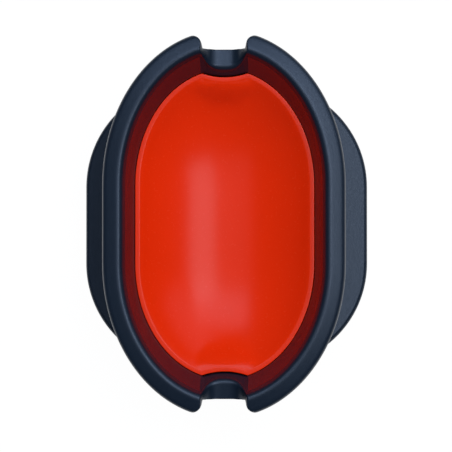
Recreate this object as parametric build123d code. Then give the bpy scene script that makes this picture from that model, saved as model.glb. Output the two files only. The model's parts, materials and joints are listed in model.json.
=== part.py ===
"""Bait mould for a flat fishing feeder: an oval cup with a sprung push-out dish.

The part stands on its base, +Z up. Its long axis lies along Y and its finger wings point along X.
The origin is the centre of the footprint, at the bottom of the skirt. Lengths are in millimetres.
"""

from build123d import *
import os
from math import atan2, cos, degrees, radians, sin

# ---- plan ovals: a straight on each side, and half an ellipse at each end ----
OVAL_STRAIGHT = 14.8
DISH_HALF_WIDTH = 16.8  # edge of the push-out dish
DISH_END_LENGTH = 21.6  # from the end of the straight to the tip of the uncut oval
RIM_REACH_SIDE = 5.8  # outer edge of the rim past the dish, across
RIM_REACH_END = 7.0

# ---- push button, and the travel that it gives ----
BUTTON_BOTTOM = 0.8  # above the surface that the part stands on
BUTTON_THICKNESS = 3.2
BUTTON_HALF_WIDTH = 13.0
BUTTON_HALF_LENGTH = 18.0
BUTTON_ROUND = 0.8
THUMB_DISH_RADIUS = 120.0
THUMB_DISH_DEPTH = 0.7
HEAD_RECESS_DEPTH = 2.0
HEAD_RECESS_GAP = 0.2
SPRING_RING_HEIGHT = 0.8
SPRING_RING_WALL = 0.9
EJECT_TRAVEL = 5.0

# ---- clearances ----
STOP_GAP = 0.4  # pushed up, the button below the guide
BOWL_GAP = 0.4  # the bowl above the bridge at rest
SEAT_GAP = 0.1  # the dish above its ledge at rest
SLIDE_GAP = 0.3  # the dish inside the cup wall
SCALLOP_GAP = 0.3  # the dish round the saddles
GUIDE_GAP = 0.1  # the stem in its guide
SPRING_GAP = 0.1  # the spring in its ring
SOCKET_GAP = 0.1  # the cup in the collar of the base
SCREW_GAP = 0.02  # a screw in the plastic that its thread has cut
HOLE_GAP = 0.1  # a screw in a plain hole

# ---- dish and stem ----
BOWL_LAND = 1.0  # flat edge round the bowl and the scallops
BOWL_DEPTH = 6.6
BOWL_SKIN = 1.6
BOWL_FLOOR_STRAIGHT = 0.6  # share of the straight that is left at the bottom of the bowl
BOWL_LEVELS = (0.12, 0.35, 0.6, 0.82, 1.0)  # shares of the half width where the bowl is drawn
DISH_EDGE_THICKNESS = 3.1
DISH_SKIRT = 1.3
DISH_RECESS = 0.5
STEM_RADIUS = 3.5

# ---- cup frame: insets in from the rim's outer edge ----
CUP_DEPTH = 6.0  # the rim above the edge of the dish
WALL_INSET = 3.9  # inner wall at the rim
RIDGE_INSET = 2.8
LIP_UNDERSIDE_INSET = 1.6
OUTER_WALL_INSET = 3.2
RIM_SLOPE_DROP = 1.0  # the rim's top face falls this much to its outer edge
RIM_LIP_HEIGHT = 1.8
LIP_UNDERSIDE_RISE = 0.5
OUTER_WALL_RISE = 1.1
RIM_INNER_ROUND = 1.0
RIM_OUTER_ROUND = 0.5
CUP_WALL = 1.2  # outside the slide gap
LOWER_WALL_INSIDE = -0.4
DRAFT_START_DROP = 0.2  # the wall starts to lean out this far below the edge of the dish
LEDGE_REACH = 1.6
LEDGE_THICKNESS = 1.6

# ---- notches for the feeder's tube, one at each end ----
NOTCH_FLOOR_RISE = 2.0  # above the edge of the dish
NOTCH_FLOOR_HALF_WIDTH = 3.3
NOTCH_SIDE_LEAN = 1.1  # each side moves out this much up to the rim
NOTCH_FLOOR_ROUND = 2.9
SADDLE_HALF_WIDTH = 4.1
SADDLE_CHEEK = 1.2  # the saddle's top above the floor of the notch
SADDLE_INTRUSION = 1.35  # the saddle's inner face inside the tip of the dish's oval
SADDLE_FACE_RADIUS = 12.0
SADDLE_LEAN = 2.4  # the inner face moves out this much above the dish

# ---- grip base ----
GUIDE_LENGTH = 4.0
GUIDE_WALL = 1.9
BRIDGE_THICKNESS = 2.2
BRIDGE_RIB = 1.2
BRIDGE_RIB_DEPTH = 1.4
BRIDGE_RIB_START = 12.0
SOCKET_DEPTH = 2.8
COLLAR_THICKNESS = 1.4
SKIRT_SPREAD = 0.9  # the skirt widens this much down to the foot
SKIRT_WALL = 1.7
FOOT_ROUND = 0.5
WING_REACH = 4.2  # past the rim
WING_CORNER_RADIUS = 19.5
WING_BELOW_COLLAR = 1.2
WING_DROOP = 1.6
WING_EDGE_THICKNESS = 2.8
WING_EDGE_ROUND = 0.8
WING_SKIN = 1.7
WING_RIB = 1.2
WING_RIB_PITCH = 9.0
WING_RIB_STEPS = (-2, -1, 0, 1, 2)

# ---- spring and screws ----
WIRE = 0.8
SPRING_GUIDE_GAP = 0.7  # the spring's top coil round the guide
SPRING_SPREAD = 2.7  # the bottom coil's radius beyond the top coil's
SPRING_TURNS = 3
STEM_SCREW_RADIUS = 1.5
STEM_SCREW_LENGTH = 8.4
STEM_HEAD_RADIUS = 2.7
STEM_HEAD_HEIGHT = 1.3
WASHER_RADIUS = 3.5
WASHER_THICKNESS = 0.5
PILOT_SPARE = 0.4  # the hole goes this much deeper than its screw
FRAME_SCREW_RADIUS = 1.1
FRAME_HEAD_RADIUS = 2.0
FRAME_HEAD_HEIGHT = 1.5
FRAME_SCREW_GRIP = 3.2  # length of thread in each boss
FRAME_SCREW_INSET = 2.6  # in from the dish's oval
FRAME_SCREW_ANGLE = 36.0  # along the end of the oval
FRAME_BOSS_RADIUS = 2.3
RECESS_ARM = 0.55  # cross recess: width of an arm
RECESS_DEPTH = 0.8

# ---- sizes that follow from the ones above ----
HALF_STRAIGHT = OVAL_STRAIGHT / 2
DISH_HALF_LENGTH = HALF_STRAIGHT + DISH_END_LENGTH
RIM_HALF_WIDTH = DISH_HALF_WIDTH + RIM_REACH_SIDE
RIM_END_LENGTH = DISH_END_LENGTH + RIM_REACH_END
RIM_HALF_LENGTH = HALF_STRAIGHT + RIM_END_LENGTH
WING_HALF_WIDTH = RIM_HALF_WIDTH + WING_REACH
SADDLE_INSIDE = DISH_HALF_LENGTH - SADDLE_INTRUSION
BUTTON_TOP = BUTTON_BOTTOM + BUTTON_THICKNESS
RECESS_TOP = BUTTON_BOTTOM + HEAD_RECESS_DEPTH
GUIDE_BOTTOM = BUTTON_TOP + EJECT_TRAVEL + STOP_GAP
BRIDGE_TOP = GUIDE_BOTTOM + GUIDE_LENGTH
BRIDGE_BOTTOM = BRIDGE_TOP - BRIDGE_THICKNESS
DISH_EDGE_TOP = BRIDGE_TOP + BOWL_GAP + BOWL_SKIN + BOWL_DEPTH
DISH_EDGE_BOTTOM = DISH_EDGE_TOP - DISH_EDGE_THICKNESS
LEDGE_TOP = DISH_EDGE_BOTTOM - SEAT_GAP
LEDGE_BOTTOM = LEDGE_TOP - LEDGE_THICKNESS
DRAFT_START = DISH_EDGE_TOP - DRAFT_START_DROP
NOTCH_FLOOR = DISH_EDGE_TOP + NOTCH_FLOOR_RISE
RIM_TOP = DISH_EDGE_TOP + CUP_DEPTH
LIP_TOP = RIM_TOP - RIM_SLOPE_DROP
LIP_BOTTOM = LIP_TOP - RIM_LIP_HEIGHT
COLLAR_TOP = BRIDGE_TOP + SOCKET_DEPTH
WING_ROOT_TOP = COLLAR_TOP - WING_BELOW_COLLAR
WING_EDGE_TOP = WING_ROOT_TOP - WING_DROOP
WING_BOTTOM = WING_EDGE_TOP - WING_EDGE_THICKNESS
OUTER_WALL_LOW = SLIDE_GAP + CUP_WALL
COLLAR_INSIDE = OUTER_WALL_LOW + SOCKET_GAP
COLLAR_OUTSIDE = COLLAR_INSIDE + COLLAR_THICKNESS
SKIRT_OUTSIDE = COLLAR_OUTSIDE + SKIRT_SPREAD
GUIDE_BORE = STEM_RADIUS + GUIDE_GAP
GUIDE_RADIUS = GUIDE_BORE + GUIDE_WALL
SPRING_TOP_RADIUS = GUIDE_RADIUS + SPRING_GUIDE_GAP + WIRE / 2
SPRING_BOTTOM_RADIUS = SPRING_TOP_RADIUS + SPRING_SPREAD


def oval(half_width, end_length, height=0.0, half_straight=HALF_STRAIGHT):
    """A plan oval as a face at one height."""
    outline = [
        Line((half_width, -half_straight), (half_width, half_straight)),
        EllipticalCenterArc((0, half_straight), half_width, end_length, 0, arc_size=180),
        Line((-half_width, half_straight), (-half_width, -half_straight)),
        EllipticalCenterArc((0, -half_straight), half_width, end_length, 180, arc_size=180),
    ]
    return Pos(0, 0, height) * make_face(outline)


def dish_oval(offset, height=0.0):
    """The dish's outline, moved out by offset."""
    return oval(DISH_HALF_WIDTH + offset, DISH_END_LENGTH + offset, height)


def rim_oval(inset, height=0.0):
    """The rim's outer outline, moved in by inset."""
    return oval(RIM_HALF_WIDTH - inset, RIM_END_LENGTH - inset, height)


def stack(*outlines):
    """A solid with straight sides from each outline to the next one above it."""
    return loft(list(outlines), ruled=True)


def level_edges(body, height):
    """The edges of a body that lie flat at one height."""
    return [e for e in body.edges() if abs(e.center().Z - height) < 0.01 and e.bounding_box().size.Z < 0.01]


def section(points, rounds=()):
    """A cross-section in the XZ plane, where rounds lists (corner, radius)."""
    sketch = make_face(Polyline(*points, close=True))
    for corner, radius in rounds:
        vertex = sketch.vertices().sort_by_distance(corner)[0]
        sketch = fillet(vertex, radius)
    return Plane.XZ * sketch


def both_ends(shape):
    """A shape at the +Y end and its twin at the -Y end."""
    return shape + Rot(0, 0, 180) * shape


def cylinder_up(radius, bottom, top, x=0.0, y=0.0):
    """An upright cylinder between two heights."""
    return Pos(x, y, bottom) * extrude(Circle(radius), top - bottom)


def saddle_plan(half_width, inside, outside, height=0.0):
    """Plan of the block under a notch: its inner face is a shallow arc that bulges towards the centre."""
    block = Pos(0, (inside + outside) / 2) * Rectangle(2 * half_width, outside - inside)
    plan = block & Pos(0, inside + SADDLE_FACE_RADIUS) * Circle(SADDLE_FACE_RADIUS)
    return Pos(0, 0, height) * plan


def notch_cutter():
    """The U-shaped channel that crosses the rim at the +Y end."""
    over = RIM_TOP + 1
    spread = NOTCH_FLOOR_HALF_WIDTH + NOTCH_SIDE_LEAN * (over - NOTCH_FLOOR) / (RIM_TOP - NOTCH_FLOOR)
    left = (-NOTCH_FLOOR_HALF_WIDTH, NOTCH_FLOOR)
    right = (NOTCH_FLOOR_HALF_WIDTH, NOTCH_FLOOR)
    profile = section(
        [left, right, (spread, over), (-spread, over)],
        [(left, NOTCH_FLOOR_ROUND), (right, NOTCH_FLOOR_ROUND)],
    )
    return extrude(Pos(0, RIM_HALF_LENGTH + 1, 0) * profile, RIM_HALF_LENGTH + 1 - HALF_STRAIGHT)


def screw_places():
    """Centres of the four screws that hold the cup frame to the base."""
    angle = radians(FRAME_SCREW_ANGLE)
    far_x = (DISH_HALF_WIDTH - FRAME_SCREW_INSET) * cos(angle)
    far_y = HALF_STRAIGHT + (DISH_END_LENGTH - FRAME_SCREW_INSET) * sin(angle)
    return [(x, y) for x in (-far_x, far_x) for y in (-far_y, far_y)]


def is_inner_rim(edge):
    """Whether an edge of the rim's top face belongs to its inner outline."""
    halfway = RIM_HALF_WIDTH - (WALL_INSET + RIDGE_INSET) / 2
    half_length = RIM_HALF_LENGTH - (WALL_INSET + RIDGE_INSET) / 2
    box = edge.bounding_box()
    return max(box.max.X, -box.min.X) < halfway and max(box.max.Y, -box.min.Y) < half_length


def cup_frame():
    """The oval cup: rim, leaning wall, ledge for the dish, and a notched saddle at each end."""
    outside = stack(
        dish_oval(OUTER_WALL_LOW, BRIDGE_TOP),
        dish_oval(OUTER_WALL_LOW, COLLAR_TOP),
        rim_oval(OUTER_WALL_INSET, LIP_BOTTOM - OUTER_WALL_RISE),
        rim_oval(LIP_UNDERSIDE_INSET, LIP_BOTTOM - LIP_UNDERSIDE_RISE),
        rim_oval(0, LIP_BOTTOM),
        rim_oval(0, LIP_TOP),
        rim_oval(RIDGE_INSET, RIM_TOP),
    )
    cavity = stack(
        dish_oval(SLIDE_GAP, LEDGE_TOP),
        dish_oval(SLIDE_GAP, DRAFT_START),
        rim_oval(WALL_INSET, RIM_TOP),
    )
    body = outside - cavity
    body = fillet(level_edges(body, LIP_TOP) + level_edges(body, LIP_BOTTOM), RIM_OUTER_ROUND)
    inner_edge = [e for e in level_edges(body, RIM_TOP) if is_inner_rim(e)]
    body = fillet(inner_edge, RIM_INNER_ROUND)
    body = body - extrude(dish_oval(LOWER_WALL_INSIDE, BRIDGE_TOP), LEDGE_BOTTOM - BRIDGE_TOP)
    body = body - extrude(dish_oval(-LEDGE_REACH, LEDGE_BOTTOM), LEDGE_THICKNESS)
    far = DISH_HALF_LENGTH + OUTER_WALL_LOW / 2
    saddle = extrude(
        saddle_plan(SADDLE_HALF_WIDTH, SADDLE_INSIDE, far, LEDGE_BOTTOM), DRAFT_START - LEDGE_BOTTOM
    )
    upper = stack(
        saddle_plan(SADDLE_HALF_WIDTH, SADDLE_INSIDE, far, DRAFT_START),
        saddle_plan(
            SADDLE_HALF_WIDTH, SADDLE_INSIDE + SADDLE_LEAN, far + SADDLE_LEAN, NOTCH_FLOOR + SADDLE_CHEEK
        ),
    )
    body = body + both_ends(saddle + upper)
    body = body - both_ends(notch_cutter())
    for x, y in screw_places():
        boss = cylinder_up(FRAME_BOSS_RADIUS, BRIDGE_TOP, LEDGE_BOTTOM, x, y)
        body = body + (boss & extrude(dish_oval(0, BRIDGE_TOP), LEDGE_BOTTOM - BRIDGE_TOP))
    for x, y in screw_places():
        body = body - cylinder_up(
            FRAME_SCREW_RADIUS + SCREW_GAP, BRIDGE_TOP, BRIDGE_TOP + FRAME_SCREW_GRIP + PILOT_SPARE, x, y
        )
    return body


def wing_plan(inset=0.0):
    """Rounded square whose sides stand out past the oval as the two finger wings."""
    size = 2 * (WING_HALF_WIDTH - inset)
    return RectangleRounded(size, size, WING_CORNER_RADIUS - inset)


def wing_roof(lower=0.0):
    """A prism under the drooping top faces of the wings, moved down by lower."""
    root = DISH_HALF_WIDTH + COLLAR_OUTSIDE
    drop = (WING_ROOT_TOP - WING_EDGE_TOP) / (WING_HALF_WIDTH - root)
    reach = WING_HALF_WIDTH + 1
    edge = WING_ROOT_TOP - drop * (reach - root) - lower
    profile = section(
        [
            (-reach, WING_BOTTOM),
            (reach, WING_BOTTOM),
            (reach, edge),
            (root, WING_ROOT_TOP - lower),
            (-root, WING_ROOT_TOP - lower),
            (-reach, edge),
        ]
    )
    return extrude(Pos(0, reach, 0) * profile, 2 * reach)


def wings():
    """Both finger wings, cored from below and ribbed, with rounded upper edges."""
    block = extrude(wing_plan(), WING_ROOT_TOP) & wing_roof()
    rims = [
        e
        for e in block.edges()
        if e.center().Z > WING_EDGE_TOP - 0.2 and abs(e.center().X) > DISH_HALF_WIDTH + COLLAR_OUTSIDE
    ]
    block = fillet(rims, WING_EDGE_ROUND)
    pocket = extrude(wing_plan(WING_SKIN), WING_ROOT_TOP) & wing_roof(WING_SKIN)
    for step in WING_RIB_STEPS:
        pocket = pocket - Pos(0, step * WING_RIB_PITCH, 0) * Box(
            4 * WING_HALF_WIDTH, WING_RIB, 4 * WING_ROOT_TOP
        )
    keep = extrude(dish_oval(SKIRT_OUTSIDE + 0.3), RIM_TOP)
    inside = extrude(dish_oval(COLLAR_OUTSIDE - 0.5), RIM_TOP)
    return block - (pocket - keep) - inside


def grip_base():
    """The lower moulding: collar, skirt, finger wings, and the bridge with the stem's guide."""
    outside = stack(dish_oval(SKIRT_OUTSIDE), dish_oval(COLLAR_OUTSIDE, COLLAR_TOP))
    outside = fillet(level_edges(outside, COLLAR_TOP) + level_edges(outside, 0), FOOT_ROUND)
    inside = stack(
        dish_oval(SKIRT_OUTSIDE - SKIRT_WALL),
        dish_oval(COLLAR_INSIDE, BRIDGE_BOTTOM),
    )
    socket = extrude(dish_oval(COLLAR_INSIDE, BRIDGE_TOP), COLLAR_TOP - BRIDGE_TOP)
    body = outside - inside - socket
    body = body + wings()
    body = body + cylinder_up(GUIDE_RADIUS, GUIDE_BOTTOM, BRIDGE_BOTTOM)
    rib_length = DISH_HALF_LENGTH + COLLAR_INSIDE - BRIDGE_RIB_START
    rib = Pos(0, BRIDGE_RIB_START + rib_length / 2, BRIDGE_BOTTOM - BRIDGE_RIB_DEPTH / 2) * Box(
        BRIDGE_RIB, rib_length, BRIDGE_RIB_DEPTH
    )
    body = body + both_ends(rib)
    body = body - cylinder_up(GUIDE_BORE, GUIDE_BOTTOM, BRIDGE_TOP)
    for x, y in screw_places():
        body = body - cylinder_up(FRAME_SCREW_RADIUS + HOLE_GAP, BRIDGE_BOTTOM, BRIDGE_TOP, x, y)
    return body


def bowl(half_width, end_length, depth):
    """A solid shaped like the inside of a bowl: an arc in section, stretched into ovals."""
    radius = (half_width**2 + depth**2) / (2 * depth)
    levels = []
    for share in BOWL_LEVELS:
        width = half_width * share
        height = DISH_EDGE_TOP - depth + radius - (radius**2 - width**2) ** 0.5
        core = HALF_STRAIGHT * (BOWL_FLOOR_STRAIGHT + (1 - BOWL_FLOOR_STRAIGHT) * share)
        levels.append(oval(width, end_length * share, height, core))
    return loft(levels)


def scallop(land, bottom):
    """A block above a height at each end of the dish, off the saddle by its gap and a land."""
    off = SCALLOP_GAP + land
    plan = saddle_plan(SADDLE_HALF_WIDTH + off, SADDLE_INSIDE - off, DISH_HALF_LENGTH + 1, bottom)
    return both_ends(extrude(plan, RIM_TOP - bottom))


def ejector_dish():
    """The push-out dish: a bowl with a skirt that slides in the cup, and the stem under it."""
    half_width = DISH_HALF_WIDTH - BOWL_LAND
    end_length = DISH_END_LENGTH - BOWL_LAND
    edge = extrude(dish_oval(0, DISH_EDGE_BOTTOM), DISH_EDGE_THICKNESS)
    outer = bowl(half_width, end_length, BOWL_DEPTH + BOWL_SKIN)
    body = edge - (extrude(dish_oval(-DISH_SKIRT, DISH_EDGE_BOTTOM), DISH_RECESS) - outer)
    body = body + outer
    body = body + cylinder_up(STEM_RADIUS, BUTTON_TOP, DISH_EDGE_TOP - BOWL_DEPTH - BOWL_SKIN / 2)
    body = body - bowl(half_width, end_length, BOWL_DEPTH)
    body = body + (edge & scallop(BOWL_LAND, DISH_EDGE_BOTTOM + DISH_RECESS))
    body = body - scallop(0, 0)
    pilot = STEM_SCREW_LENGTH - (BUTTON_TOP - RECESS_TOP) + PILOT_SPARE
    return body - cylinder_up(STEM_SCREW_RADIUS + SCREW_GAP, BUTTON_TOP, BUTTON_TOP + pilot)


def push_button():
    """The thumb button screwed to the stem, with a ring that centres the spring."""
    plan = Pos(0, 0, BUTTON_BOTTOM) * Ellipse(BUTTON_HALF_WIDTH, BUTTON_HALF_LENGTH)
    body = extrude(plan, BUTTON_THICKNESS)
    body = fillet(body.edges(), BUTTON_ROUND)
    thumb = Pos(0, 0, BUTTON_BOTTOM + THUMB_DISH_DEPTH - THUMB_DISH_RADIUS) * Sphere(THUMB_DISH_RADIUS)
    body = body - thumb
    ring_inside = SPRING_BOTTOM_RADIUS + WIRE / 2 + SPRING_GAP
    ring_top = BUTTON_TOP + SPRING_RING_HEIGHT
    ring = cylinder_up(ring_inside + SPRING_RING_WALL, BUTTON_TOP, ring_top)
    body = body + (ring - cylinder_up(ring_inside, BUTTON_TOP, ring_top))
    body = body - cylinder_up(WASHER_RADIUS + HEAD_RECESS_GAP, 0, RECESS_TOP)
    return body - cylinder_up(STEM_SCREW_RADIUS + HOLE_GAP, RECESS_TOP, BUTTON_TOP)


def return_spring():
    """Conical coil spring between the bridge and the button."""
    height = BRIDGE_BOTTOM - BUTTON_TOP - WIRE
    cone = degrees(atan2(SPRING_BOTTOM_RADIUS - SPRING_TOP_RADIUS, height))
    path = Pos(0, 0, BUTTON_TOP + WIRE / 2) * Helix(
        height / SPRING_TURNS, height, SPRING_BOTTOM_RADIUS, cone_angle=-cone
    )
    wire = Plane(path @ 0, z_dir=path % 0) * Circle(WIRE / 2)
    return sweep(wire, path)


def cross_recess(bottom):
    """Cutter for a cross recess that opens downwards at a height."""
    arm = Box(4 * RECESS_ARM, RECESS_ARM, 2 * RECESS_DEPTH)
    return Pos(0, 0, bottom) * (arm + Rot(0, 0, 90) * arm)


def screw(head_bottom, head_radius, head_height, shank_radius, length, x=0.0, y=0.0):
    """A pan-head screw driven upwards: its head is below, with a cross recess."""
    head = cylinder_up(head_radius, head_bottom, head_bottom + head_height)
    head = fillet(head.edges().group_by(Axis.Z)[0], head_height * 0.45)
    shank = cylinder_up(shank_radius, head_bottom + head_height, head_bottom + head_height + length)
    shank = chamfer(shank.edges().group_by(Axis.Z)[-1], shank_radius * 0.5)
    return Pos(x, y, 0) * (head + shank - cross_recess(head_bottom))


def stem_washer():
    """The washer under the stem screw's head."""
    bottom = RECESS_TOP - WASHER_THICKNESS
    return cylinder_up(WASHER_RADIUS, bottom, RECESS_TOP) - cylinder_up(
        STEM_SCREW_RADIUS + HOLE_GAP, bottom, RECESS_TOP
    )


def stem_screw():
    """The screw that holds the button to the stem of the dish."""
    head_bottom = RECESS_TOP - WASHER_THICKNESS - STEM_HEAD_HEIGHT
    return screw(
        head_bottom, STEM_HEAD_RADIUS, STEM_HEAD_HEIGHT, STEM_SCREW_RADIUS, STEM_SCREW_LENGTH
    )


def frame_screws():
    """The four screws that hold the cup frame down on the bridge."""
    return Compound(
        [
            screw(
                BRIDGE_BOTTOM - FRAME_HEAD_HEIGHT,
                FRAME_HEAD_RADIUS,
                FRAME_HEAD_HEIGHT,
                FRAME_SCREW_RADIUS,
                BRIDGE_THICKNESS + FRAME_SCREW_GRIP,
                x,
                y,
            ).solid()
            for x, y in screw_places()
        ]
    )


NODES = {
    "cup_frame": cup_frame,
    "grip_base": grip_base,
    "ejector_dish": ejector_dish,
    "push_button": push_button,
    "return_spring": return_spring,
    "stem_screw": stem_screw,
    "stem_washer": stem_washer,
    "frame_screws": frame_screws,
}

os.makedirs("parts", exist_ok=True)
for name, make in NODES.items():
    export_step(make(), f"parts/{name}.step")
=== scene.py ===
"""Looks of a bait mould for a flat feeder: notched black cup, winged base, sprung orange push-out dish."""

import json
import logging
import math
from dataclasses import dataclass, field
from enum import Enum

import bpy
import bmesh
from mathutils import Matrix, Vector

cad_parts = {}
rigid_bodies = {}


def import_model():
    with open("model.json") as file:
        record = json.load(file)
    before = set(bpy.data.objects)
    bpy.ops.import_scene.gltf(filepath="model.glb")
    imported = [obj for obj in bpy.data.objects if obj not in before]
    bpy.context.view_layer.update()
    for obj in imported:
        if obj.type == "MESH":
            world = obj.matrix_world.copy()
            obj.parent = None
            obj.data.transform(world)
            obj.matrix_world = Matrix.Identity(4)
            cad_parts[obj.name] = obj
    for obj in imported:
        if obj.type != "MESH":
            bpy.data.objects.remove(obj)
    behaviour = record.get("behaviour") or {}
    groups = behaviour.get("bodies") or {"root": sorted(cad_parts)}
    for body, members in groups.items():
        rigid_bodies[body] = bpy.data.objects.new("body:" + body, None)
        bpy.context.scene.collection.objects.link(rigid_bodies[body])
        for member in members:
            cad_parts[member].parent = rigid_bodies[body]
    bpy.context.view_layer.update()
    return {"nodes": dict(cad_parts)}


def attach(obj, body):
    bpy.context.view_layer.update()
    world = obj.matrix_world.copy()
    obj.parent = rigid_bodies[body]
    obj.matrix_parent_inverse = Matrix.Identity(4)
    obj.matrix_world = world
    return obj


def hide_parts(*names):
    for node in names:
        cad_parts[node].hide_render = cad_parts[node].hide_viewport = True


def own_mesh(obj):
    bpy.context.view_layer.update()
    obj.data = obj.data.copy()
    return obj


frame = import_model()

log = logging.getLogger("feeder_mould")

Point = tuple[float, float, float]
Rows = tuple[tuple[float, float], ...]

# Metres in a millimetre. Sizes are in millimetres up to the Studio, which is in metres.
MM = 0.001
# Vertices closer than this are one, in metres.
WELD = 1e-7
# Edges that turn more than this stay crisp on a turned piece.
CRISP_TURN = math.radians(35)
# Subdivisions of a moulding's control mesh.
MOULDING_LEVELS = 2
# Nearly all of a noise texture lies between these.
NOISE_LOW = 0.3
NOISE_HIGH = 0.7


def linear(hex_colour: str) -> tuple[float, float, float, float]:
    """Turns an sRGB hex colour into the linear values that shaders take, by the standard's own curve.

    Args:
        hex_colour: Six hex digits, with or without a leading #.

    Returns:
        Linear red, green, blue and an alpha of 1.
    """
    digits = hex_colour.lstrip("#")
    channels = [int(digits[i : i + 2], 16) / 255 for i in (0, 2, 4)]
    return (*[c / 12.92 if c <= 0.04045 else ((c + 0.055) / 1.055) ** 2.4 for c in channels], 1.0)


def add_node(
    tree: bpy.types.NodeTree, kind: str, inputs: dict | None = None, **settings: object
) -> bpy.types.Node:
    """Adds one node, with its settings, and its input values or links.

    Args:
        tree: The node tree that the node goes into.
        kind: The node's type name.
        inputs: Socket name or index to a value, or to the output socket that feeds it.
        settings: Attributes of the node itself.

    Returns:
        The new node.
    """
    node = tree.nodes.new(kind)
    for name, value in settings.items():
        setattr(node, name, value)
    for key, value in (inputs or {}).items():
        if isinstance(value, bpy.types.NodeSocket):
            tree.links.new(value, node.inputs[key])
        else:
            node.inputs[key].default_value = value
    return node


def blank_material(name: str) -> bpy.types.Material:
    """Makes a material whose node tree is empty.

    Args:
        name: The material's name.

    Returns:
        The material.
    """
    material = bpy.data.materials.new(name)
    material.use_nodes = True
    material.node_tree.nodes.clear()
    return material


def linked(name: str, content: bpy.types.ID) -> bpy.types.Object:
    """Makes an object of a mesh, a light or a camera and links it into the scene.

    Args:
        name: The object's name.
        content: What it shows.

    Returns:
        The object, at the origin.
    """
    holder = bpy.data.objects.new(name, content)
    bpy.context.scene.collection.objects.link(holder)
    return holder


@dataclass(frozen=True)
class MouldedPlastic:
    """Injection-moulded plastic: base colour, gloss, and the fine grain that the mould's surface leaves.

    Attributes:
        name: The material's name.
        colour: Its colour between the flow clouds.
        deep_colour: Its colour in them.
        roughness: Its mean roughness.
        roughness_spread: How far the grain moves the roughness, up and down.
        ior: Its index of refraction.
        specular: The strength of its reflection, where 0.5 is plain.
        sheen: The tint of its reflection.
        grain_mm: The width of a grain.
        grain_height_mm: The height of a grain.
        flow_mm: The width of a flow cloud.
    """

    name: str
    colour: str
    deep_colour: str
    roughness: float
    roughness_spread: float
    ior: float
    specular: float
    sheen: str
    grain_mm: float
    grain_height_mm: float
    flow_mm: float = 9.0

    def build(self) -> bpy.types.Material:
        """Builds the material.

        Returns:
            The material, patterned on object coordinates.
        """
        material = blank_material(self.name)
        tree = material.node_tree
        place = add_node(tree, "ShaderNodeTexCoord").outputs["Object"]
        grain = add_node(
            tree,
            "ShaderNodeTexNoise",
            {"Vector": place, "Scale": 1 / (self.grain_mm * MM), "Detail": 3.0, "Roughness": 0.55},
        )
        flow = add_node(
            tree,
            "ShaderNodeTexNoise",
            {"Vector": place, "Scale": 1 / (self.flow_mm * MM), "Detail": 2.0, "Roughness": 0.4},
        )
        tint = add_node(
            tree,
            "ShaderNodeMix",
            {"Factor": flow.outputs["Fac"], "A": linear(self.colour), "B": linear(self.deep_colour)},
            data_type="RGBA",
        )
        gloss = add_node(
            tree,
            "ShaderNodeMapRange",
            {
                "Value": grain.outputs["Fac"],
                "From Min": NOISE_LOW,
                "From Max": NOISE_HIGH,
                "To Min": self.roughness - self.roughness_spread,
                "To Max": self.roughness + self.roughness_spread,
            },
        )
        bump = add_node(
            tree,
            "ShaderNodeBump",
            {"Height": grain.outputs["Fac"], "Strength": 1.0, "Distance": self.grain_height_mm * MM},
        )
        shader = add_node(
            tree,
            "ShaderNodeBsdfPrincipled",
            {
                "Base Color": tint.outputs["Result"],
                "Roughness": gloss.outputs["Result"],
                "IOR": self.ior,
                "Specular IOR Level": self.specular,
                "Specular Tint": linear(self.sheen),
                "Normal": bump.outputs["Normal"],
            },
        )
        add_node(tree, "ShaderNodeOutputMaterial", {"Surface": shader.outputs["BSDF"]})
        return material


@dataclass(frozen=True)
class DrawnSteel:
    """Bright steel: drawn wire or a zinc-plated screw, with fine marks across its axis.

    Attributes:
        name: The material's name.
        colour: Its colour.
        roughness: Its roughness between the marks.
        mark_mm: The length of a mark.
        mark_height_mm: The height of a mark.
        slimness: How many times longer a mark is than it is high along Z.
        smoother: How far the marks lower the roughness at most.
        rougher: How far they raise it at most.
    """

    name: str
    colour: str
    roughness: float
    mark_mm: float
    mark_height_mm: float
    slimness: float = 5.0
    smoother: float = 0.08
    rougher: float = 0.1

    def build(self) -> bpy.types.Material:
        """Builds the material.

        Returns:
            The material, patterned on object coordinates.
        """
        material = blank_material(self.name)
        tree = material.node_tree
        place = add_node(tree, "ShaderNodeTexCoord").outputs["Object"]
        flattened = add_node(
            tree, "ShaderNodeMapping", {"Vector": place, "Scale": (1.0, 1.0, self.slimness)}
        )
        marks = add_node(
            tree,
            "ShaderNodeTexNoise",
            {"Vector": flattened.outputs["Vector"], "Scale": 1 / (self.mark_mm * MM), "Detail": 4.0},
        )
        gloss = add_node(
            tree,
            "ShaderNodeMapRange",
            {
                "Value": marks.outputs["Fac"],
                "To Min": self.roughness - self.smoother,
                "To Max": self.roughness + self.rougher,
            },
        )
        bump = add_node(
            tree,
            "ShaderNodeBump",
            {"Height": marks.outputs["Fac"], "Distance": self.mark_height_mm * MM},
        )
        shader = add_node(
            tree,
            "ShaderNodeBsdfPrincipled",
            {
                "Base Color": linear(self.colour),
                "Metallic": 1.0,
                "Roughness": gloss.outputs["Result"],
                "Normal": bump.outputs["Normal"],
            },
        )
        add_node(tree, "ShaderNodeOutputMaterial", {"Surface": shader.outputs["BSDF"]})
        return material


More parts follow.
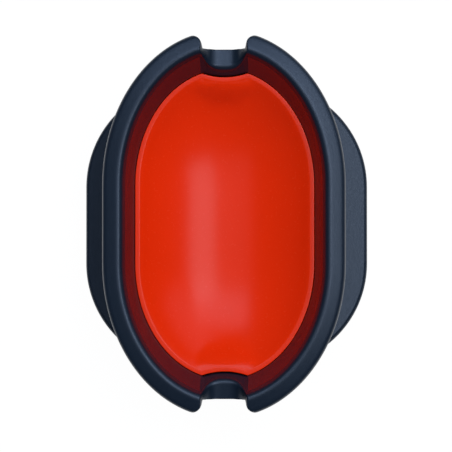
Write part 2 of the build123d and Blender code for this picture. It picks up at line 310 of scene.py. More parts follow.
class Finish(Enum):
    """The finishes on the mould, each named for the real one."""

    # Black ABS from a spark-eroded tool: satin, with a fine even grain. Its reflection has a painted cold
    # blue-grey tint that stands in for cool light falling on it.
    SATIN_BLACK = MouldedPlastic(
        "black_abs_spark_eroded", "#101C29", "#0C1723", 0.37, 0.06, 1.5, 0.50, "#D4E6FF", 0.30, 0.012
    )
    # The same black ABS where the tool was polished: it mirrors the dish, softly.
    POLISHED_BLACK = MouldedPlastic(
        "black_abs_polished_tool", "#111925", "#0E1520", 0.16, 0.02, 1.6, 0.85, "#FFFFFF", 0.6, 0.002
    )
    # Orange-red ABS, semi-gloss: the colour goes right through, with faint flow clouds.
    ORANGE_RED = MouldedPlastic(
        "orange_red_abs_semi_gloss", "#F93000", "#F52E00", 0.26, 0.02, 1.5, 0.17, "#FFFFFF", 0.5, 0.003
    )
    # Hard-drawn spring wire: bright, with drawing marks.
    SPRING_WIRE = DrawnSteel("bright_drawn_spring_wire", "#B9BCC2", 0.28, 0.25, 0.004)
    # Zinc-plated steel: paler and duller than bare wire.
    ZINC_PLATE = DrawnSteel("zinc_plated_steel", "#C3C6CC", 0.38, 0.4, 0.005)


class FinishShelf:
    """Builds each finish once and hands it out."""

    def __init__(self) -> None:
        """Starts with no finish built."""
        self.built: dict[Finish, bpy.types.Material] = {}

    def take(self, finish: Finish) -> bpy.types.Material:
        """Gives the material of a finish.

        Args:
            finish: The finish wanted.

        Returns:
            Its material, built at the first call.
        """
        if finish not in self.built:
            self.built[finish] = finish.value.build()
        return self.built[finish]


SHELF = FinishShelf()


def new_piece(
    name: str,
    points: list[Point],
    faces: list[tuple[int, ...]],
    finishes: list[Finish],
    face_finish: list[int] | None = None,
) -> bpy.types.Object:
    """Makes a smooth mesh piece from points in millimetres.

    Args:
        name: The piece's name.
        points: Its vertices, in millimetres.
        faces: Its faces, as vertex indices.
        finishes: What it is made of.
        face_finish: For each face, which of the finishes it has. None is the first throughout.

    Returns:
        The object, at the origin, with its faces turned outwards.
    """
    mesh = bpy.data.meshes.new(name)
    mesh.from_pydata([tuple(c * MM for c in p) for p in points], [], faces)
    for face, which in zip(mesh.polygons, face_finish or []):
        face.material_index = which
    work = bmesh.new()
    work.from_mesh(mesh)
    bmesh.ops.remove_doubles(work, verts=work.verts, dist=WELD)
    bmesh.ops.recalc_face_normals(work, faces=work.faces)
    work.to_mesh(mesh)
    work.free()
    mesh.shade_smooth()
    for finish in finishes:
        mesh.materials.append(SHELF.take(finish))
    return linked(name, mesh)


def subdivide(piece: bpy.types.Object, levels: int) -> None:
    """Rounds a control mesh with Catmull-Clark subdivision.

    Args:
        piece: The piece to round.
        levels: The number of subdivisions, in the view and in the render alike.
    """
    rounding = piece.modifiers.new("rounding", "SUBSURF")
    rounding.levels = levels
    rounding.render_levels = levels


def smooth_step(low: float, high: float, value: float) -> float:
    """A share from 0 to 1 that rises smoothly as value goes from low to high."""
    share = min(1.0, max(0.0, (value - low) / (high - low)))
    return share * share * (3 - 2 * share)


@dataclass(frozen=True)
class Ring:
    """One oval round the cup, at one height: half its width, and the length of each elliptical end."""

    half_width: float
    end_length: float
    height: float

    def mix(self, other: "Ring", share: float) -> "Ring":
        """The ring a share of the way from this one to another."""
        return Ring(
            self.half_width + share * (other.half_width - self.half_width),
            self.end_length + share * (other.end_length - self.end_length),
            self.height + share * (other.height - self.height),
        )


@dataclass(frozen=True)
class Station:
    """A line across the mould: by its x at the oval's edge, or by its y along the straight side."""

    edge_x: float
    along: float | None = None


@dataclass(frozen=True)
class OvalPlan:
    """The plan that the mould follows: straight sides and elliptical ends. Lengths are in millimetres."""

    half_straight: float = 7.4
    dish_half_width: float = 16.8
    dish_end_length: float = 21.6
    rim_half_width: float = 22.6
    rim_end_length: float = 28.6
    # Station lines run along Y up to the first of these distances from the middle. Past the second they fan
    # out fully.
    parallel_zone: float = 5.2
    fan_zone: float = 13.0
    # Gaps between the station lines of a quadrant's elliptical end.
    end_gaps: int = 22

    def at_dish(self, offset: float, height: float) -> Ring:
        """The dish's outline, moved out by offset."""
        return Ring(self.dish_half_width + offset, self.dish_end_length + offset, height)

    def at_rim(self, inset: float, height: float) -> Ring:
        """The rim's outer outline, moved in by inset."""
        return Ring(self.rim_half_width - inset, self.rim_end_length - inset, height)

    def fan(self, half_width: float, first_x: float) -> list[float]:
        """Spaces station lines evenly by angle round a quadrant's elliptical end.

        Args:
            half_width: Half the oval's width, where the fan ends.
            first_x: Where the fan starts, beside the notch.

        Returns:
            The x of each line on the oval, first_x and half_width included.
        """
        first = math.acos(first_x / half_width)
        return [half_width * math.cos(first * (1 - i / self.end_gaps)) for i in range(self.end_gaps + 1)]

    def place(self, ring: Ring, station: Station) -> tuple[float, float]:
        """Where a station line crosses a ring.

        Beside the notches the lines run along Y, and they fan out evenly from there to the sides.

        Args:
            ring: The ring that is crossed.
            station: The station line, by its x at the rim.

        Returns:
            x and y in the first quadrant.
        """
        if station.along is not None:
            return ring.half_width, station.along
        by_angle = ring.half_width * station.edge_x / self.rim_half_width
        share = smooth_step(self.parallel_zone, self.fan_zone, station.edge_x)
        x = min(station.edge_x + share * (by_angle - station.edge_x), ring.half_width)
        return x, self.half_straight + ring.end_length * math.sqrt(max(0.0, 1 - (x / ring.half_width) ** 2))


PLAN = OvalPlan()


def round_the_oval(quadrant: list[list[Point]]) -> list[list[Point]]:
    """Mirrors the columns of one quadrant right round the oval.

    Args:
        quadrant: Columns of points, from the middle of the +Y end to the middle of the +X side.

    Returns:
        The columns of all four quadrants, in order, with none repeated.
    """
    quarters = (
        (quadrant, 1, 1),
        (quadrant[-2::-1], 1, -1),
        (quadrant[1:], -1, -1),
        (quadrant[-2:0:-1], -1, 1),
    )
    columns = []
    for quarter, sign_x, sign_y in quarters:
        columns += [[(sign_x * x, sign_y * y, z) for x, y, z in column] for column in quarter]
    return columns


def loop_faces(columns: int, rows: int, closed_rows: bool) -> list[tuple[int, ...]]:
    """Quads of a grid whose columns run round a loop.

    Args:
        columns: How many columns there are.
        rows: Points in each column.
        closed_rows: Whether each column also closes on itself.

    Returns:
        The faces, as indices of column-by-column points.
    """
    faces = []
    for i in range(columns):
        j = (i + 1) % columns
        for k in range(rows if closed_rows else rows - 1):
            m = (k + 1) % rows
            faces.append((i * rows + k, j * rows + k, j * rows + m, i * rows + m))
    return faces


def turned(name: str, profile: list[tuple[float, float]], around: int, finish: Finish) -> bpy.types.Object:
    """Makes a piece by turning a profile about the Z axis.

    Args:
        name: The piece's name.
        profile: Radius and height along the profile, in millimetres.
        around: Points in each turn.
        finish: What it is made of.

    Returns:
        The piece, with crisp edges where its profile turns sharply.
    """
    points = []
    for i in range(around):
        angle = 2 * math.pi * i / around
        points += [(r * math.cos(angle), r * math.sin(angle), z) for r, z in profile]
    piece = new_piece(name, points, loop_faces(around, len(profile), False), [finish])
    piece.data.set_sharp_from_angle(angle=CRISP_TURN)
    return piece


@dataclass
class CupShell:
    """The black cup: rolled rim, steep wall, and a U-shaped notch through the rim at each end."""

    # Heights of the rim's crest, of the dish's edge and of the notch's floor.
    rim_top: float = 28.0
    dish_edge: float = 22.0
    notch_floor: float = 24.0
    # The U in section: half of its flat, its round's radius, and how much of the radius the round spans.
    notch_flat: float = 0.9
    notch_radius: float = 2.95
    notch_round_share: float = 0.955
    # Half the notch's width at the crest, and how far over the crest its leaning side is aimed.
    notch_top_x: float = 4.35
    notch_over: float = 0.05
    # The floor's outer end, its fall per millimetre, and how far below the crest the fall is there in full.
    notch_lip: float = 32.6
    notch_slope: float = 0.17
    slope_fade: float = 2.0
    # The floor rolls down into the cup on this radius, drawn in this many rows.
    notch_roll: float = 1.0
    roll_rows: int = 5
    # The horns beside the notch: the x of their inner sides, and the centre and radius of their corners.
    horn_side: float = 4.1
    horn_centre: float = 33.05
    horn_radius: float = 2.0
    # The saddle's face inside the cup: its y at the dish's edge, twice the radius of its bulge, how far it
    # leans back for each millimetre of height, how far below the dish's edge the lean starts, and half its
    # width.
    saddle_inside: float = 27.68
    saddle_bulge: float = 24.0
    saddle_lean: float = 0.71
    saddle_foot: float = 0.2
    saddle_half_width: float = 4.0
    # Rings above a notch's surface make way for it, and so does a ring less than this below it.
    ring_room: float = 0.12
    # This many rings inside the crest stay grained, and the polish ends this many rings into the ledge.
    grained_rings: int = 4
    ledge_rings: int = 2
    # Station lines by x across half a notch, closest together on its side, and by y along the straight.
    notch_lines: tuple[float, ...] = (
        0.0, 0.8, 1.5, 2.1, 2.6, 3.0, 3.3, 3.53, 3.7, 3.85, 4.0, 4.15, 4.3, 4.45, 4.7, 5.1, 5.7
    )
    fan_start: float = 6.4
    straight_lines: tuple[float, ...] = (5.0, 2.5, 0.0)
    body: str = "frame"
    outer: list[Ring] = field(default_factory=list)
    inner: list[Ring] = field(default_factory=list)
    foot: list[Ring] = field(default_factory=list)

    def __post_init__(self) -> None:
        """Sets out the profile's rings: up the outside, down the inside and round the foot."""
        top = self.rim_top
        self.outer = [
            PLAN.at_dish(1.5, 16.4),
            PLAN.at_dish(2.0, 19.5),
            PLAN.at_rim(3.35, 23.2),
            PLAN.at_rim(3.1, top - 3.95),
            PLAN.at_rim(2.6, top - 3.6),
            PLAN.at_rim(1.4, top - 3.22),
            PLAN.at_rim(0.35, top - 2.9),
            PLAN.at_rim(0.0, top - 2.55),
            PLAN.at_rim(0.0, top - 1.5),
            PLAN.at_rim(0.2, top - 0.9),
            PLAN.at_rim(0.6, top - 0.62),
            PLAN.at_rim(1.05, top - 0.48),
            PLAN.at_rim(1.85, top - 0.27),
            PLAN.at_rim(2.5, top - 0.1),
        ]
        self.inner = [
            PLAN.at_rim(2.95, top - 0.01),
            PLAN.at_rim(3.4, top - 0.13),
            PLAN.at_rim(3.78, top - 0.45),
            PLAN.at_rim(4.0, top - 0.85),
            PLAN.at_rim(4.25, top - 1.6),
            Ring(17.87, 23.49, top - 3.0),
            Ring(17.33, 22.5, top - 4.6),
            PLAN.at_dish(0.12, self.dish_edge + 0.25),
            PLAN.at_dish(0.03, self.dish_edge - 0.02),
            PLAN.at_dish(0.03, self.dish_edge - 0.6),
            PLAN.at_dish(0.3, self.dish_edge - 3.0),
        ]
        self.foot = [
            PLAN.at_dish(0.3, 18.8),
            PLAN.at_dish(-1.5, 18.8),
            PLAN.at_dish(-1.6, 18.7),
            PLAN.at_dish(-1.6, 17.3),
            PLAN.at_dish(-1.5, 17.2),
            PLAN.at_dish(-0.45, 17.2),
            PLAN.at_dish(-0.4, 17.1),
            PLAN.at_dish(-0.4, 13.5),
            PLAN.at_dish(-0.3, 13.4),
            PLAN.at_dish(1.4, 13.4),
            PLAN.at_dish(1.5, 13.5),
        ]

    def notch_height(self, x: float) -> float:
        """Height of the notch's surface: a flat floor, a round, and a leaning side.

        Args:
            x: Distance across from the middle of the notch.

        Returns:
            The height, before the floor's fall.
        """
        edge = self.notch_flat + self.notch_radius * self.notch_round_share
        past = max(0.0, min(x, edge) - self.notch_flat)
        height = self.notch_floor + self.notch_radius - math.sqrt(self.notch_radius**2 - past**2)
        if x < edge:
            return height
        share = (x - edge) / (self.notch_top_x - edge)
        return height + share * (self.rim_top + self.notch_over - height)

    def stations(self) -> list[Station]:
        """Sets out the station lines of one quadrant: close together in the notch, then evenly spread.

        Returns:
            The lines, from the middle of the notch to the middle of the side.
        """
        lines = [Station(x) for x in (*self.notch_lines, *PLAN.fan(PLAN.rim_half_width, self.fan_start))]
        return lines + [Station(PLAN.rim_half_width, y) for y in self.straight_lines]

    def horn_limit(self, x: float) -> float:
        """How far out the shell may reach: straight across the notch, then round the corner of each horn.

        Args:
            x: Distance across from the middle of the notch.

        Returns:
            The greatest y, or infinity past the horn.
        """
        if x < self.horn_side:
            return self.notch_lip
        gone = max(0.0, self.horn_side + self.horn_radius - x)
        if gone == 0.0:
            return math.inf
        return self.horn_centre + math.sqrt(self.horn_radius**2 - gone**2)

    def crossing(self, rings: list[Ring], height: float) -> Ring:
        """The ring that a profile passes at one height.

        Args:
            rings: The profile's rings, in order.
            height: The height wanted.

        Returns:
            The ring at that height, or the profile's nearer end where it doesn't reach it.
        """
        for low, high in zip(rings, rings[1:]):
            bottom, top = sorted((low.height, high.height))
            if bottom <= height <= top and top > bottom:
                return low.mix(high, (height - low.height) / (high.height - low.height))
        return rings[-1] if abs(rings[-1].height - height) < abs(rings[0].height - height) else rings[0]

    def point(self, ring: Ring, station: Station, outside: bool) -> Point:
        """A point of the shell, with the horn and the saddle allowed for.

        Args:
            ring: The ring that it is on.
            station: The station line that it is on.
            outside: Whether it is on the cup's outside, where the horns limit it.

        Returns:
            The point in the first quadrant.
        """
        x, y = PLAN.place(ring, station)
        if station.along is None and outside:
            y = min(y, self.horn_limit(x))
        if not outside and x < self.saddle_half_width:
            lean = self.saddle_lean * max(0.0, ring.height - self.dish_edge + self.saddle_foot)
            y = min(y, self.saddle_inside + x * x / self.saddle_bulge + lean)
        return x, y, ring.height

    def notch_rows(self, start: Point, end: Point, rows: int) -> list[Point]:
        """The notch's surface at one station: a falling floor, and a quarter turn down into the cup.

        Args:
            start: Where it leaves the outside.
            end: Where it meets the inside.
            rows: How many points it has.

        Returns:
            Its points, from the outside to the inside.
        """
        roll = self.notch_roll
        x, outer_y, height = start
        length = outer_y - end[1]
        slope = self.notch_slope * min(1.0, (self.rim_top - height) / self.slope_fade)
        flat_rows = rows - self.roll_rows - 1
        points = []
        for i in range(rows):
            angle = math.pi / 2 * max(0.0, (i - flat_rows) / self.roll_rows)
            flat = min(1.0, i / max(1, flat_rows)) * (length - roll)
            gone = flat if angle == 0.0 else length - roll + roll * math.sin(angle)
            sag = slope * (length - roll - flat)
            points.append((x, outer_y - gone, height - sag - roll * (1 - math.cos(angle))))
        return points

    def column(self, station: Station) -> list[Point]:
        """The closed profile at one station. Rings that a notch cuts away give their points to its surface.

        Args:
            station: Where the profile is taken.

        Returns:
            Its points, the same number at every station.
        """
        up, down = self.outer, self.inner
        surface: list[Point] = []
        if station.along is None and station.edge_x < self.notch_top_x:
            height = self.notch_height(station.edge_x)
            low = height - self.notch_roll
            up = [r for r in self.outer if r.height < height - self.ring_room]
            down = [r for r in self.inner if r.height < low - self.ring_room]
            x, y, _ = self.point(self.crossing(self.outer, height), station, True)
            end = self.point(self.crossing(self.inner, low), station, False)
            rows = len(self.outer) + len(self.inner) - len(up) - len(down)
            surface = self.notch_rows((x, y, height), end, rows)
        outside = [self.point(r, station, True) for r in up]
        return outside + surface + [self.point(r, station, False) for r in (*down, *self.foot)]

    def build(self) -> bpy.types.Object:
        """Builds the shell.

        Returns:
            The finished piece, riding on its body.
        """
        columns = round_the_oval([self.column(s) for s in self.stations()])
        points = [p for column in columns for p in column]
        rows = len(columns[0])
        faces = loop_faces(len(columns), rows, True)
        first = len(self.outer) + self.grained_rings
        last = len(self.outer) + len(self.inner) + self.ledge_rings
        polished = []
        for face in faces:
            inside = all(first <= v % rows <= last for v in face)
            polished.append(int(inside and min(abs(points[v][0]) for v in face) > self.notch_top_x))
        shell = new_piece("cup_shell", points, faces, [Finish.SATIN_BLACK, Finish.POLISHED_BLACK], polished)
        subdivide(shell, MOULDING_LEVELS)
        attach(shell, self.body)
        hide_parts("cup_frame")
        return shell


@dataclass
class PushOutDish:
    """The orange-red dish: an arc-shaped bowl stretched into an oval, a narrow land, and scalloped ends."""

    # Heights of the edge's top and bottom, the bowl's depth and the skin under it.
    edge_top: float = 22.0
    edge_bottom: float = 18.9
    depth: float = 6.6
    skin: float = 1.6
    # The bowl's oval. Its straight is shorter at the centre line, and its ends rise over twice end_blend.
    half_width: float = 15.8
    end_length: float = 20.6
    floor_straight: float = 0.6
    end_blend: float = 6.0
    # The land's width, and how far short of it the bowl stops at a scallop.
    land: float = 1.0
    bowl_gap: float = 0.15
    # The scallop: its y on the centre line, twice the radius of its curve, and the x where it ends.
    scallop_inside: float = 27.53
    scallop_bulge: float = 24.0
    corner_x: float = 4.45
    # Towards the scallop's corner the bowl reaches up to this much further, over these distances across.
    corner_reach: float = 2.0
    corner_from: float = 3.3
    corner_to: float = 4.9
    # The bowl's rows fall back this far from the scallop towards the centre line.
    row_spread: float = 1.2
    # The bowl sweeps up to the scallop: half the sweep's width, its reach, and how far short of the land's
    # height it stays.
    sweep_half_width: float = 3.9
    sweep_reach: float = 3.6
    sweep_drop: float = 0.12
    # The side's lower round, and how far the hollow underside rises over the side's bottom at most.
    side_round: float = 0.2
    hollow_rise: float = 0.5
    # The stem, its chamfer, the ring just under the dish, and how far it goes into it.
    stem_radius: float = 3.5
    stem_bottom: float = 4.0
    stem_chamfer: float = 0.3
    stem_ring: float = 0.1
    stem_root: float = 0.6
    stem_points: int = 64
    # Station lines by x across half a scallop, and by y along the straight.
    scallop_lines: tuple[float, ...] = (0.0, 0.9, 1.8, 2.6, 3.3, 3.8, 4.1, 4.3, 4.5, 4.7, 5.1, 5.8)
    fan_start: float = 6.8
    straight_lines: tuple[float, ...] = (PLAN.half_straight, 5.0, 2.5, 0.0)
    # Rows of the bowl and of the underside, as shares of the way out.
    bowl_rows: tuple[float, ...] = (0.05, 0.11, 0.19, 0.29, 0.41, 0.54, 0.67, 0.78, 0.87, 0.93, 0.975)
    hollow_rows: tuple[float, ...] = (0.85, 0.7, 0.56, 0.42, 0.3, 0.2, 0.12, 0.06)
    # Rows of the land, as shares of its width in from the edge with a fall, and of the lip's underside, as
    # distances in from the edge with a rise.
    land_rows: Rows = ((0.96, 0.07), (0.84, 0.0), (0.3, 0.0), (0.05, 0.02), (0.0, 0.1))
    lip_rows: Rows = ((0.1, 0.0), (1.2, 0.0), (1.3, 0.1), (1.35, 0.45))
    body: str = "ejector"

    def outline(self, station: Station) -> tuple[float, float]:
        """The dish's edge at one station, with the scallop round the saddle.

        Args:
            station: The station line, by its x at the dish's edge.

        Returns:
            x and y in the first quadrant.
        """
        if station.along is not None:
            return PLAN.dish_half_width, station.along
        x = station.edge_x
        round_end = math.sqrt(max(0.0, 1 - (x / PLAN.dish_half_width) ** 2))
        y = PLAN.half_straight + PLAN.dish_end_length * round_end
        if x < self.corner_x:
            y = min(y, self.scallop_inside + x * x / self.scallop_bulge)
        return x, y

    def stations(self) -> list[Station]:
        """Sets out the station lines of one quadrant: close together in the scallop, then evenly spread.

        Returns:
            The lines, from the middle of the scallop to the middle of the side.
        """
        ends = PLAN.fan(PLAN.dish_half_width, self.fan_start)[:-1]
        lines = [Station(x) for x in (*self.scallop_lines, *ends)]
        return lines + [Station(PLAN.dish_half_width, y) for y in self.straight_lines]

    def floor_height(self, x: float, y: float, skin: float = 0.0) -> float:
        """Height of the bowl: a circular arc across, with ends that rise gently.

        Args:
            x: Distance across from the centre line.
            y: Distance along from the middle.
            skin: How far below the bowl the surface lies.

        Returns:
            The height, in millimetres.
        """
        depth = self.depth + skin
        radius = (self.half_width**2 + depth**2) / (2 * depth)
        start = PLAN.half_straight - self.end_blend
        share = min(1.0, max(0.0, (y - start) / (2 * self.end_blend)))
        beyond = 2 * self.end_blend * (share**3 - share**4 / 2) + max(0.0, y - start - 2 * self.end_blend)
        out = x**2 + (beyond * self.half_width / self.end_length) ** 2
        return self.edge_top - depth + radius - math.sqrt(radius**2 - min(out, self.half_width**2))

    def on_oval(self, station: Station, share: float) -> tuple[float, float]:
        """Where a station line meets one of the ovals that fill the bowl.

        Args:
            station: The station line, by its x at the dish's edge.
            share: The oval, as a share of the way out from the bowl's centre line.

        Returns:
            x and y in the first quadrant.
        """
        core = PLAN.half_straight * (self.floor_straight + (1 - self.floor_straight) * share)
        if station.along is not None:
            return self.half_width * share, core * station.along / PLAN.half_straight
        across = station.edge_x / PLAN.dish_half_width
        along = math.sqrt(max(0.0, 1 - across**2))
        return self.half_width * share * across, core + self.end_length * share * along

    def inset(self, edges: list[tuple[float, float]], i: int, distance: float) -> tuple[float, float]:
        """A point of the outline moved inwards.

        Args:
            edges: The outline at each station of the quadrant.
            i: Which station.
            distance: How far in.

        Returns:
            The moved x and y.
        """
        before = edges[i - 1] if i else (-edges[1][0], edges[1][1])
        after = edges[i + 1] if i + 1 < len(edges) else (edges[-2][0], -edges[-2][1])
        along = Vector((after[0] - before[0], after[1] - before[1])).normalized()
        return edges[i][0] + along.y * distance, edges[i][1] - along.x * distance

    def bowl_point(self, station: Station, share: float, skin: float = 0.0) -> Point:
        """A point of the bowl, which ends at the land and sweeps up to it round the scallop.

        Args:
            station: The station line, by its x at the dish's edge.
            share: How far out it is, as a share of the way from the centre line.
            skin: How far below the bowl the surface lies.

        Returns:
            The point in the first quadrant.
        """
        x, y = self.on_oval(station, share)
        limit = self.scallop_inside - self.land - self.bowl_gap + x * x / self.scallop_bulge
        reach = self.corner_reach * smooth_step(self.corner_from, self.corner_to, x)
        y = min(y, limit + reach - self.row_spread * (1 - share))
        away = math.hypot(max(0.0, x - self.sweep_half_width), max(0.0, limit - y))
        z = self.floor_height(x, y, skin)
        sweep = 1 - smooth_step(0.0, self.sweep_reach, away)
        return x, y, z + sweep * (self.edge_top - self.sweep_drop - skin - z)

    def columns(self) -> list[list[Point]]:
        """The cross-section at each station of a quadrant.

        Returns:
            For each station its points, from the bottom of the bowl over the lip to under the middle.
        """
        stations = self.stations()
        edges = [self.outline(s) for s in stations]
        made = []
        for i, station in enumerate(stations):
            column = [self.bowl_point(station, share) for share in self.bowl_rows]
            for distance, fall in self.land_rows:
                column.append((*self.inset(edges, i, distance * self.land), self.edge_top - fall))
            column.append((*edges[i], self.edge_bottom + self.side_round))
            for distance, rise in self.lip_rows:
                column.append((*self.inset(edges, i, distance), self.edge_bottom + rise))
            for share in self.hollow_rows:
                x, y, z = self.bowl_point(station, share, self.skin)
                column.append((x, y, min(z, self.edge_bottom + self.hollow_rise)))
            made.append(column)
        return made

    def faces(self, columns: int, rows: int) -> list[tuple[int, ...]]:
        """The grid's faces, and the ladders that close the middle of the top and of the underside.

        Args:
            columns: How many columns there are round the dish.
            rows: Points in each column.

        Returns:
            The faces, as indices of column-by-column points.
        """
        faces = loop_faces(columns, rows, False)
        for row in (0, rows - 1):
            for i in range(columns // 2):
                rung = (i, i + 1, columns - i - 1, (columns - i) % columns)
                faces.append(tuple(dict.fromkeys(c * rows + row for c in rung)))
        return faces

    def stem(self) -> bpy.types.Object:
        """Turns the stem, which is rooted in the bottom of the bowl.

        Returns:
            The stem, not yet on its body.
        """
        skin_bottom = self.edge_top - self.depth - self.skin
        profile = [
            (0.0, self.stem_bottom),
            (self.stem_radius - self.stem_chamfer, self.stem_bottom),
            (self.stem_radius, self.stem_bottom + self.stem_chamfer),
            (self.stem_radius, skin_bottom - self.stem_ring),
            (self.stem_radius, skin_bottom + self.stem_root),
            (0.0, skin_bottom + self.stem_root),
        ]
        return turned("dish_stem", profile, self.stem_points, Finish.ORANGE_RED)

    def build(self) -> list[bpy.types.Object]:
        """Builds the dish and its stem.

        Returns:
            The finished pieces, riding on their body.
        """
        columns = round_the_oval(self.columns())
        points = [p for column in columns for p in column]
        faces = self.faces(len(columns), len(columns[0]))
        dish = new_piece("push_out_dish", points, faces, [Finish.ORANGE_RED])
        subdivide(dish, MOULDING_LEVELS)
        stem = self.stem()
        for piece in (dish, stem):
            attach(piece, self.body)
        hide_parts("ejector_dish")
        return [dish, stem]


class CadDress:
    """Gives a finish to the pieces whose CAD shape is already the real one."""

    finishes: dict[str, Finish] = {
        "grip_base": Finish.SATIN_BLACK,
        "push_button": Finish.SATIN_BLACK,
        "stem_screw": Finish.ZINC_PLATE,
        "stem_washer": Finish.ZINC_PLATE,
        "frame_screws": Finish.ZINC_PLATE,
    }

    def dress(self) -> None:
        """Puts each finish on its node."""
        for node, finish in self.finishes.items():
            piece = frame["nodes"][node]
            for holder in [piece, *piece.children_recursive]:
                if holder.type == "MESH":
                    holder.data.materials.clear()
                    holder.data.materials.append(SHELF.take(finish))
                    log.info("%s dressed in %s", holder.name, finish.value.name)


@dataclass
class ReturnSpring:
    """The conical spring, as a Geometry Nodes spiral with a round wire."""

    wire: float = 0.8
    bottom_radius: float = 9.3
    top_radius: float = 6.75
    bottom: float = 4.4
    height: float = 6.4
    turns: float = 3.25
    # The height that it is pressed against, and the share of its own height that is then left.
    seat: float = 11.2
    pressed_share: float = 0.306
    # Points in a turn of the coil, and round the wire.
    turn_points: int = 48
    wire_points: int = 16
    body: str = "frame"

    def tree(self) -> bpy.types.GeometryNodeTree:
        """Builds the node tree that coils the wire.

        Returns:
            The tree, with an input for each size in metres.
        """
        tree = bpy.data.node_groups.new("coil_spring", "GeometryNodeTree")
        for name in ("Bottom Radius", "Top Radius", "Height", "Turns", "Wire Radius", "Bottom"):
            tree.interface.new_socket(name, in_out="INPUT", socket_type="NodeSocketFloat")
        tree.interface.new_socket("Geometry", in_out="OUTPUT", socket_type="NodeSocketGeometry")
        sizes = add_node(tree, "NodeGroupInput").outputs
        coil = add_node(
            tree,
            "GeometryNodeCurveSpiral",
            {
                "Resolution": self.turn_points,
                "Rotations": sizes["Turns"],
                "Start Radius": sizes["Bottom Radius"],
                "End Radius": sizes["Top Radius"],
                "Height": sizes["Height"],
            },
        )
        ring = add_node(
            tree,
            "GeometryNodeCurvePrimitiveCircle",
            {"Resolution": self.wire_points, "Radius": sizes["Wire Radius"]},
        )
        wire = add_node(
            tree,
            "GeometryNodeCurveToMesh",
            {"Curve": coil.outputs["Curve"], "Profile Curve": ring.outputs["Curve"], "Fill Caps": True},
        )
        lift = add_node(tree, "ShaderNodeCombineXYZ", {"Z": sizes["Bottom"]})
        moved = add_node(
            tree,
            "GeometryNodeTransform",
            {"Geometry": wire.outputs["Mesh"], "Translation": lift.outputs["Vector"]},
        )
        smooth = add_node(tree, "GeometryNodeSetShadeSmooth", {"Geometry": moved.outputs["Geometry"]})
        real = add_node(tree, "GeometryNodeRealizeInstances", {"Geometry": smooth.outputs["Geometry"]})
        dressed = add_node(
            tree,
            "GeometryNodeSetMaterial",
            {"Geometry": real.outputs["Geometry"], "Material": SHELF.take(Finish.SPRING_WIRE)},
        )
        add_node(tree, "NodeGroupOutput", {"Geometry": dressed.outputs["Geometry"]})
        return tree

    def build(self) -> bpy.types.Object:
        """Builds the spring as a plain mesh.

        Returns:
            The spring, riding on its body.
        """
        sizes = {
            "Bottom Radius": self.bottom_radius * MM,
            "Top Radius": self.top_radius * MM,
            "Height": self.height * MM,
            "Turns": self.turns,
            "Wire Radius": self.wire / 2 * MM,
            "Bottom": self.bottom * MM,
        }
        spring = grown("return_spring_coil", self.tree(), sizes)
        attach(spring, self.body)
        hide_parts("return_spring")
        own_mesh(spring)
        return spring


def grown(name: str, tree: bpy.types.GeometryNodeTree, sizes: dict[str, float]) -> bpy.types.Object:
    """Grows a plain mesh piece from a Geometry Nodes tree.

    Args:
        name: The piece's name.
        tree: The tree, with named inputs.
        sizes: A value for each input.

    Returns:
        The piece as a plain mesh, with no modifier left.
    """
    seed = linked(name + "_seed", bpy.data.meshes.new(name + "_seed"))
    growth = seed.modifiers.new("growth", "NODES")
    growth.node_group = tree
    for item in tree.interface.items_tree:
        if item.in_out == "INPUT" and item.name in sizes:
            growth[item.identifier] = sizes[item.name]
    graph = bpy.context.evaluated_depsgraph_get()
    mesh = bpy.data.meshes.new_from_object(seed.evaluated_get(graph), depsgraph=graph)
    mesh.name = name
    bpy.data.objects.remove(seed)
    return linked(name, mesh)


@dataclass(frozen=True)
class Softbox:
    """A soft rectangular light that hangs round the cup and is aimed at it.

    Attributes:
        name: The light's name.
        azimuth: Its direction from the cup, in degrees from +X towards +Y.
        zenith: How far its direction leans from straight up, in degrees.
        size: Its width and height, in metres.
        glow: The radiance of its face, where a white wall in full light has 1.
        colour: Its colour.
    """

    name: str
    azimuth: float
    zenith: float
    size: tuple[float, float]
    glow: float
    colour: str

    def hang(self, target: Point, distance: float) -> None:
        """Hangs the light.

        Args:
            target: What it is aimed at, in metres.
            distance: How far from there it hangs.
        """
        lamp = bpy.data.lights.new(self.name, "AREA")
        lamp.shape = "RECTANGLE"
        lamp.size, lamp.size_y = self.size
        lamp.energy = self.glow * math.pi * self.size[0] * self.size[1]
        lamp.color = linear(self.colour)[:3]
        lean, turn = math.radians(self.zenith), math.radians(self.azimuth)
        towards = Vector((math.sin(lean) * math.cos(turn), math.sin(lean) * math.sin(turn), math.cos(lean)))
        holder = linked(self.name, lamp)
        holder.location = Vector(target) + distance * towards
        holder.rotation_euler = (-towards).to_track_quat("-Z", "Y").to_euler()


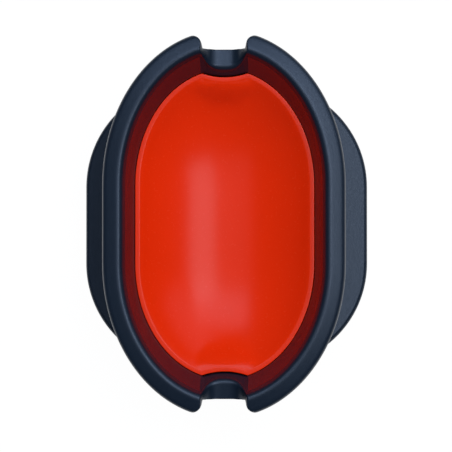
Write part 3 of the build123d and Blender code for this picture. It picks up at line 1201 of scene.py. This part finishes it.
@dataclass
class Studio:
    """The pale floor, the soft lights and the camera above the cup. Lengths are in metres."""

    target: Point = (0.0004, -0.0004, 0.026)
    # The camera hangs this far above the target, and this far beside and before it.
    camera_distance: float = 0.45
    camera_side: float = 0.016
    camera_front: float = -0.008
    # The width that the camera sees at the target, and that of its sensor in millimetres.
    view_width: float = 0.0837
    sensor_width: float = 36.0
    # The floor lies just under the foot. Seen directly or in a reflection, this share of it is glow.
    floor_half: float = 3.0
    floor_drop: float = 2e-5
    floor_glow: float = 1.03
    floor_glow_share: float = 0.95
    room_glow: float = 0.17
    light_distance: float = 0.6
    # A key light on the right, one behind, a dim panel overhead and one far out between the first two.
    lights: tuple[Softbox, ...] = (
        Softbox("key_softbox", 11, 21, (0.30, 0.26), 4.7, "#F4F8FF"),
        Softbox("back_softbox", 86, 25, (0.58, 0.22), 3.7, "#E0ECFF"),
        Softbox("top_softbox", 180, 10, (0.30, 0.36), 0.9, "#F4F8FF"),
        Softbox("edge_softbox", 48, 50, (0.56, 0.24), 1.3, "#E0ECFF"),
    )

    def floor(self) -> None:
        """Lays the floor, which reads as white and keeps a faint shadow."""
        half, low = self.floor_half, -self.floor_drop
        mesh = bpy.data.meshes.new("floor")
        mesh.from_pydata(
            [(-half, -half, low), (half, -half, low), (half, half, low), (-half, half, low)],
            [],
            [(0, 1, 2, 3)],
        )
        floor = linked("floor", mesh)
        material = blank_material("white_sweep")
        tree = material.node_tree
        matt = add_node(tree, "ShaderNodeBsdfDiffuse", {"Color": linear("#F4F4F4")})
        glow = add_node(
            tree, "ShaderNodeEmission", {"Color": linear("#FFFFFF"), "Strength": self.floor_glow}
        )
        path = add_node(tree, "ShaderNodeLightPath")
        seen = path.outputs["Is Camera Ray"]
        for ray in ("Is Glossy Ray", "Is Transmission Ray"):
            either = add_node(tree, "ShaderNodeMath", {0: seen, 1: path.outputs[ray]}, operation="MAXIMUM")
            seen = either.outputs["Value"]
        share = add_node(tree, "ShaderNodeMath", {0: seen, 1: self.floor_glow_share}, operation="MULTIPLY")
        mixed = add_node(
            tree,
            "ShaderNodeMixShader",
            {0: share.outputs["Value"], 1: matt.outputs["BSDF"], 2: glow.outputs["Emission"]},
        )
        add_node(tree, "ShaderNodeOutputMaterial", {"Surface": mixed.outputs["Shader"]})
        mesh.materials.append(material)

    def room(self) -> None:
        """Makes the room round the table: white to the camera, and dim and cool to everything else."""
        world = bpy.data.worlds.new("room")
        bpy.context.scene.world = world
        world.use_nodes = True
        tree = world.node_tree
        tree.nodes.clear()
        dim = add_node(
            tree, "ShaderNodeBackground", {"Color": linear("#D8E6FF"), "Strength": self.room_glow}
        )
        white = add_node(tree, "ShaderNodeBackground", {"Color": linear("#FFFFFF"), "Strength": 1.0})
        path = add_node(tree, "ShaderNodeLightPath")
        mixed = add_node(
            tree,
            "ShaderNodeMixShader",
            {
                0: path.outputs["Is Camera Ray"],
                1: dim.outputs["Background"],
                2: white.outputs["Background"],
            },
        )
        add_node(tree, "ShaderNodeOutputWorld", {"Surface": mixed.outputs["Shader"]})

    def camera(self) -> None:
        """Hangs the camera above the cup, a little to the right and to the front of its middle."""
        lens = bpy.data.cameras.new("overhead")
        lens.sensor_width = self.sensor_width
        lens.lens = self.sensor_width * self.camera_distance / self.view_width
        holder = linked("overhead", lens)
        target = Vector(self.target)
        holder.location = target + Vector((self.camera_side, self.camera_front, self.camera_distance))
        ahead = (target - holder.location).normalized()
        right = ahead.cross(Vector((0.0, 1.0, 0.0))).normalized()
        turn = Matrix((right, right.cross(ahead), -ahead)).transposed()
        holder.rotation_euler = turn.to_euler()
        bpy.context.scene.camera = holder

    def build(self) -> None:
        """Sets up the floor, the room, the lights and the camera."""
        bpy.context.scene.view_settings.view_transform = "Standard"
        self.floor()
        self.room()
        for light in self.lights:
            light.hang(self.target, self.light_distance)
        self.camera()


def main() -> None:
    """Builds the mould, its finishes and the studio, and reports each piece."""
    logging.basicConfig(level=logging.INFO)
    Studio().build()
    made = [CupShell().build(), *PushOutDish().build(), ReturnSpring().build()]
    CadDress().dress()
    for piece in made:
        log.info("%s has %d control points", piece.name, len(piece.data.vertices))


if __name__ == "__main__":
    main()
